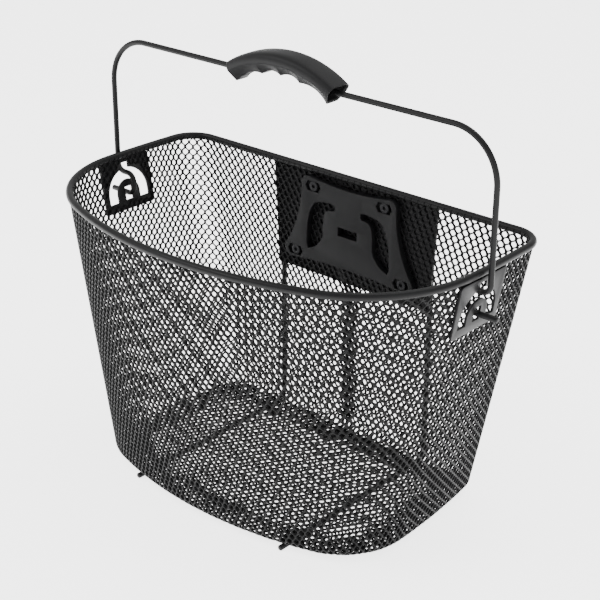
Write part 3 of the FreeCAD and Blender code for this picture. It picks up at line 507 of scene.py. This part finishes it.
def bent_route(corners, radii, step=math.radians(6)):
    """Points along straight runs joined by arcs. Each arc's centre lies on the corner's
    bisector, and its reach along both runs is the radius over the tangent of half the angle."""
    corners = [np.array(c, float) for c in corners]
    route = [corners[0][None]]
    for before, corner, after, radius in zip(corners, corners[1:], corners[2:], radii):
        a = (before - corner) / np.linalg.norm(before - corner)
        b = (after - corner) / np.linalg.norm(after - corner)
        half = math.acos(np.clip(a @ b, -1, 1)) / 2
        inner = (a + b) / np.linalg.norm(a + b)
        centre = corner + inner * radius / math.sin(half)
        start = corner + a * radius / math.tan(half) - centre
        sweep = math.pi - 2 * half
        side = np.cross(np.cross(start, -inner * radius), start)
        side *= radius / np.linalg.norm(side)
        turn = np.linspace(0, sweep, max(4, int(sweep / step) + 1))[:, None]
        route.append(centre + start * np.cos(turn) + side * np.sin(turn))
    route.append(corners[-1][None])
    return np.concatenate(route)


# %% Rim
around = np.linspace(0, 1, 900, endpoint=False)
rx, ry = rim_plan.at(around, BREAKS, SHEET / 2)
rim = tube("rim", np.stack([rx, ry, np.full_like(rx, RIM_Z)], -1), RIM_R, powder_wire,
           closed=True, sides=24)
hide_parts("rim_wire")

# %% [markdown]
# ## The rolled hem
# The top of the mesh is folded round the rim wire before coating. Outside, the paint fills it
# smooth. Inside, the ends of the strands show as a row of short dashes. Placing them by hand
# would be slow, so one small bent bar with few faces is repeated by a formula.


# %% Hem
def face_outwards(thing):
    """Turn every face of a closed piece outwards."""
    tool = bmesh.new()
    tool.from_mesh(thing.data)
    bmesh.ops.recalc_face_normals(tool, faces=tool.faces)
    tool.to_mesh(thing.data)
    tool.free()


def hem(count=168, sides=6, rings=6):
    """Short bars wrapped round the rim's inner side: an arc about the rim's centre line, with
    the bar's thickness as a circle across the arc, tapering at both ends."""
    u = (np.arange(count) + 0.5) / count
    step = 0.3 / count
    x, y = rim_plan.at(u, BREAKS, SHEET / 2)
    x1, y1 = rim_plan.at(u + step, BREAKS, SHEET / 2)
    x0, y0 = rim_plan.at(u - step, BREAKS, SHEET / 2)
    along = np.stack([x1 - x0, y1 - y0, 0 * x], -1)
    along /= np.linalg.norm(along, axis=1)[:, None]
    inward = np.stack([along[:, 1], -along[:, 0], 0 * x], -1)
    inward *= np.sign(-(inward[:, 0] * x + inward[:, 1] * (y + 0.02)))[:, None]
    centre = np.stack([x, y, np.full_like(x, RIM_Z)], -1)
    turn = np.linspace(math.radians(-80), math.radians(28), rings)
    taper = np.sin(np.linspace(0.25, math.pi - 0.25, rings)) ** 0.5
    out = inward[:, None] * np.cos(turn)[:, None] + np.array([0, 0, 1.0]) * np.sin(turn)[:, None]
    lean = along[:, None] * (np.linspace(-0.9, 0.9, rings) * MM)[:, None]
    spine = centre[:, None] + out * RIM_R + lean
    angle = np.linspace(0, 2 * math.pi, sides, endpoint=False)
    wide = along[:, None, None] * (np.cos(angle) * 0.75 * MM)[:, None]
    high = out[:, :, None] * (np.sin(angle) * 0.5 * MM)[:, None]
    points = spine[:, :, None] + (wide + high) * taper[:, None, None]
    ring, j = np.meshgrid(np.arange(rings - 1), np.arange(sides), indexing="ij")
    k = (j + 1) % sides
    one = np.stack([ring * sides + j, ring * sides + k, (ring + 1) * sides + k,
                    (ring + 1) * sides + j], -1).reshape(-1, 4)
    shift = (np.arange(count) * rings * sides)[:, None, None]
    caps = np.stack([np.arange(sides)[::-1], (rings - 1) * sides + np.arange(sides)])
    return points.reshape(-1, 3), [(one + shift).reshape(-1, 4), (caps + shift).reshape(-1, sides)]


hem_points, hem_faces = hem()
hem_piece = put("rim_hem", hem_points, hem_faces, powder_mesh)
face_outwards(hem_piece)

# %% [markdown]
# ## Supports and handle
# Two wires come down behind the flat rear and run forward under the floor. The handle is one
# wire. Its hooked ends go in over a tongue, down inside it and out again through a slot. Each
# route is a few corners joined by arcs, the way a bending machine makes it. A hand-drawn curve
# could follow it, but its bends would not be true arcs.

# %% Wires
STAY_R, HANDLE_R, STAY_BEND = 2.25 * MM, 2.25 * MM, 10 * MM
STAY_X, STAY_FRONT, STAY_DROP = 78 * MM, -80 * MM, 10 * MM
STAY_BACK = (RIM["rear"] + 2) * MM + STAY_R
for side, word in ((-1, "left"), (1, "right")):
    x = STAY_X * side
    corners = [(x, STAY_FRONT, STAY_R), (x, STAY_BACK, STAY_R), (x, STAY_BACK, RIM_Z - STAY_DROP)]
    stay = tube(f"stay_{word}", bent_route(corners, [STAY_BEND]), STAY_R, powder_wire,
                across=(1, 0, 0))
    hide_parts(f"stay_wire_{word}")

LEG, INNER, STUB, BAR = 190.5 * MM, 172 * MM, 198 * MM, RIM_Z + 100.6 * MM
PIVOT_Z = PIVOT[2]
CROSS, CHORD, PEAK = PIVOT_Z + 17.6 * MM, 48 * MM, 25 * MM
ARCH_R = 95 * MM
HOOK_R, SHOULDER_R, NECK_R = 7 * MM, 38 * MM, 14 * MM
right_half = [(STUB, PIVOT_Z), (INNER, PIVOT_Z), (INNER, CROSS), (LEG, CROSS), (LEG, BAR),
              (CHORD, BAR)]
left_half = [(-x, z) for x, z in right_half[::-1]]
handle_corners = [(x, PIVOT[1], z) for x, z in right_half + [(0, BAR + PEAK)] + left_half]
bends = [HOOK_R] * 3 + [SHOULDER_R, NECK_R]
handle_path = bent_route(handle_corners, bends + [ARCH_R] + bends[::-1], math.radians(4))
handle_piece = tube("handle", handle_path, HANDLE_R, powder_wire, across=(0, 1, 0),
                    body="handle")
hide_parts("handle_wire")

# %% [markdown]
# ## The grip
# The grip is one moulding on the arched part of the wire. Its upper half is rounded and ends in
# a crease along each side, and its lower sides taper in to a narrow keel. Four finger scallops
# run along the keel, and the ends are hollow. It could be carved from a bent bar with booleans,
# but a section worked out for each angle along the arch keeps the crease and the scallops clean.

# %% Grip
ARCH_Z = BAR + PEAK - ARCH_R * math.hypot(CHORD, PEAK) / CHORD
GRIP_HALF = math.radians(31)
CUSPS = np.array([-1, -0.4, 0, 0.4, 1])
TOP, CREASE, LOW = 8.2 * MM, 0.3 * MM, -8.6 * MM
WIDE, KEEL, KEEL_TALL = 11.9 * MM, 6.9 * MM, 1.0 * MM
SCALLOP, PINCH = 2.1 * MM, 1.1 * MM


def grip_section(share):
    """Closed section at a place along the grip, share -1 to 1. Above the crease it is a
    superellipse: width times cosine, and height times sine, each to a power below one. Below, it
    runs straight in to a narrow keel. The keel rises as the sine of the place between two
    cusps, which makes a scallop for each finger."""
    share = np.asarray(share, float)[:, None]
    scallop = np.abs(np.sin(np.pi * np.interp(share, CUSPS, np.arange(5)))) ** 0.85
    top = TOP - 0.4 * MM * share ** 4
    low = LOW + SCALLOP * scallop
    wide = WIDE * (1 - 0.05 * np.abs(share) ** 3)
    turn = np.linspace(0, np.pi, 25)
    upper = np.stack([wide * np.sign(np.cos(turn)) * np.abs(np.cos(turn)) ** 0.55,
                      CREASE + (top - CREASE) * np.sin(turn) ** 0.62], -1)
    down = np.linspace(0, 1, 9)[1:-1]
    keel = KEEL - PINCH * scallop
    slope_x = wide + (keel - wide) * down
    slope_z = CREASE + (low + KEEL_TALL - CREASE) * down
    under = np.linspace(0, np.pi, 11)
    keel_x = keel * np.sign(np.cos(under)) * np.abs(np.cos(under)) ** 0.5
    keel_z = low + KEEL_TALL - KEEL_TALL * np.sin(under) ** 0.6
    left = np.stack([-slope_x, slope_z], -1)
    right = np.stack([slope_x, slope_z], -1)[:, ::-1]
    base = np.stack([keel_x, keel_z], -1)[:, ::-1]
    return np.concatenate([upper, left, base, right], 1)


def grip_mesh(stations=161):
    """Place the sections along the arch, then fold in at each end to a lip, a hollow and a
    closing disc round the wire. A point is the arch's centre plus its radius times the
    direction of the angle along the arch."""
    share = np.linspace(-1, 1, stations)
    body_sections = grip_section(share)
    angle = share * GRIP_HALF
    lip = [(0.995, 0.93), (0.985, 0.86), (0.96, 0.84), (0.80, 0.82), (0.79, 0.3)]
    ends, end_angles = [], []
    for place, size in lip:
        ends.append(grip_section(np.array([1.0])) * size)
        end_angles.append(place * GRIP_HALF)
    ends = np.concatenate(ends)
    sections = np.concatenate([ends[::-1], body_sections, ends])
    angles = np.concatenate([-np.array(end_angles)[::-1], angle, np.array(end_angles)])
    radius = ARCH_R + sections[..., 1]
    points = np.stack([radius * np.sin(angles)[:, None], PIVOT[1] + sections[..., 0],
                       ARCH_Z + radius * np.cos(angles)[:, None]], -1)
    rows, sides = points.shape[:2]
    i, j = np.meshgrid(np.arange(rows - 1), np.arange(sides), indexing="ij")
    k = (j + 1) % sides
    faces = np.stack([i * sides + j, i * sides + k, (i + 1) * sides + k, (i + 1) * sides + j], -1)
    caps = np.stack([np.arange(sides)[::-1], (rows - 1) * sides + np.arange(sides)])
    return points.reshape(-1, 3), [faces.reshape(-1, 4), caps]


grip_points, grip_faces = grip_mesh()
grip_piece = put("grip", grip_points, grip_faces, grip_skin, body="handle")
face_outwards(grip_piece)
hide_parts("handle_grip")

# %% [markdown]
# ## Plates, mouldings and fasteners
# Pressed and moulded parts have softened edges that catch a line of light. The engineering
# solids have sharp ones. The solids could be modelled again, but their shapes are right. So each
# gets a copy whose loose triangles are joined and merged into flat faces, and a narrow bevel
# rounds its edges.


# %% Softened copies
def soften(node, material, width, segments=3):
    """Copy a solid, merge its points and flat triangles, and bevel the edges left over."""
    source = frame["nodes"][node]
    tool = bmesh.new()
    tool.from_mesh(source.data)
    bmesh.ops.transform(tool, matrix=source.matrix_world, verts=tool.verts)
    bmesh.ops.remove_doubles(tool, verts=tool.verts, dist=1e-6)
    bmesh.ops.dissolve_limit(tool, angle_limit=math.radians(1), verts=tool.verts,
                             edges=tool.edges)
    mesh = bpy.data.meshes.new(f"{node}_soft")
    tool.to_mesh(mesh)
    tool.free()
    mesh.materials.clear()
    mesh.materials.append(material)
    thing = bpy.data.objects.new(f"{node}_soft", mesh)
    bpy.context.scene.collection.objects.link(thing)
    mesh.polygons.foreach_set("use_smooth", np.full(len(mesh.polygons), True))
    bevel = thing.modifiers.new("soft edges", "BEVEL")
    bevel.width, bevel.segments = width, segments
    bevel.limit_method, bevel.angle_limit = "ANGLE", math.radians(35)
    bevel.use_clamp_overlap = True
    bevel.harden_normals = True
    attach(thing, "basket")
    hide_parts(node)
    print(f"{node}: {len(mesh.polygons)} flat faces before the bevel")
    return thing


soften("inner_plate", moulded, 0.5 * MM)
soften("adapter_body", moulded, 0.8 * MM)
soften("backing_plate", powder_plate, 0.3 * MM, 2)
for word in ("left", "right"):
    soften(f"handle_bracket_{word}", powder_plate, 0.3 * MM, 2)
for number in range(1, 5):
    soften(f"clamp_screw_{number}", black_oxide, 0.35 * MM, 2)
    soften(f"clamp_washer_{number}", zinc, 0.15 * MM, 2)
    soften(f"clamp_nut_{number}", zinc, 0.25 * MM, 2)

# %% [markdown]
# ## Stage, light and camera
# A black object needs broad soft light, so that its edges read without hard glare. Three large
# lamps and an even sky stand round a plain pale floor. A picture of a studio could light it
# too, but lamps are easier to move. The floor gives off some light of its own, so that it reads
# nearly white. The camera looks from in front, one side and above, through a long lens.

# %% Stage
floor_material = bpy.data.materials.new("pale floor")
floor_material.use_nodes = True
floor_shader = floor_material.node_tree.nodes["Principled BSDF"]
floor_shader.inputs["Base Color"].default_value = (0.93, 0.93, 0.93, 1)
floor_shader.inputs["Roughness"].default_value = 0.9
floor_shader.inputs["Emission Color"].default_value = (1, 1, 1, 1)
floor_shader.inputs["Emission Strength"].default_value = 3.0
stage_mesh = bpy.data.meshes.new("stage")
reach = 40.0
stage_mesh.from_pydata([(-reach, -reach, 0), (reach, -reach, 0), (reach, reach, 0), (-reach, reach, 0)],
                       [], [(0, 1, 2, 3)])
stage_mesh.materials.append(floor_material)
stage = bpy.data.objects.new("stage", stage_mesh)
bpy.context.scene.collection.objects.link(stage)

world = bpy.data.worlds.new("even sky")
bpy.context.scene.world = world
world.use_nodes = True
world.node_tree.nodes["Background"].inputs["Color"].default_value = (1, 1, 1, 1)
world.node_tree.nodes["Background"].inputs["Strength"].default_value = 1.0


MIDDLE = Vector((0, 0, 0.15))


def lamp(name, place, size, watts):
    """A square soft lamp that looks at the basket's middle."""
    light = bpy.data.lights.new(name, "AREA")
    light.size, light.energy = size, watts
    thing = bpy.data.objects.new(name, light)
    thing.location = place
    aim = MIDDLE - Vector(place)
    thing.rotation_euler = aim.to_track_quat("-Z", "Y").to_euler()
    bpy.context.scene.collection.objects.link(thing)


lamp("key", (-1.1, -1.3, 1.7), 1.2, 22)
lamp("fill", (1.8, -0.6, 1.0), 1.6, 12)
lamp("top", (0.2, 0.7, 2.0), 1.4, 16)
print("lamps", len(bpy.data.lights))

# %% Camera
AZIMUTH, ELEVATION, ROLL = (math.radians(a) for a in (41.26, 24.80, 0.30))
CAMERA_PLACE = (0.70936, -0.77775, 0.64401)
camera_data = bpy.data.cameras.new("camera")
camera_data.sensor_width, camera_data.lens = 36.0, 89.1
camera = bpy.data.objects.new("camera", camera_data)
right = Vector((math.cos(AZIMUTH), math.sin(AZIMUTH), 0))
back = Vector((math.sin(AZIMUTH) * math.cos(ELEVATION), -math.cos(AZIMUTH) * math.cos(ELEVATION),
               math.sin(ELEVATION)))
up = back.cross(right)
right, up = (right * math.cos(ROLL) + up * math.sin(ROLL),
             up * math.cos(ROLL) - right * math.sin(ROLL))
turned = Matrix((right, up, back)).transposed().to_4x4()
camera.matrix_world = Matrix.Translation(CAMERA_PLACE) @ turned
bpy.context.scene.collection.objects.link(camera)
bpy.context.scene.camera = camera
print("camera at", CAMERA_PLACE)
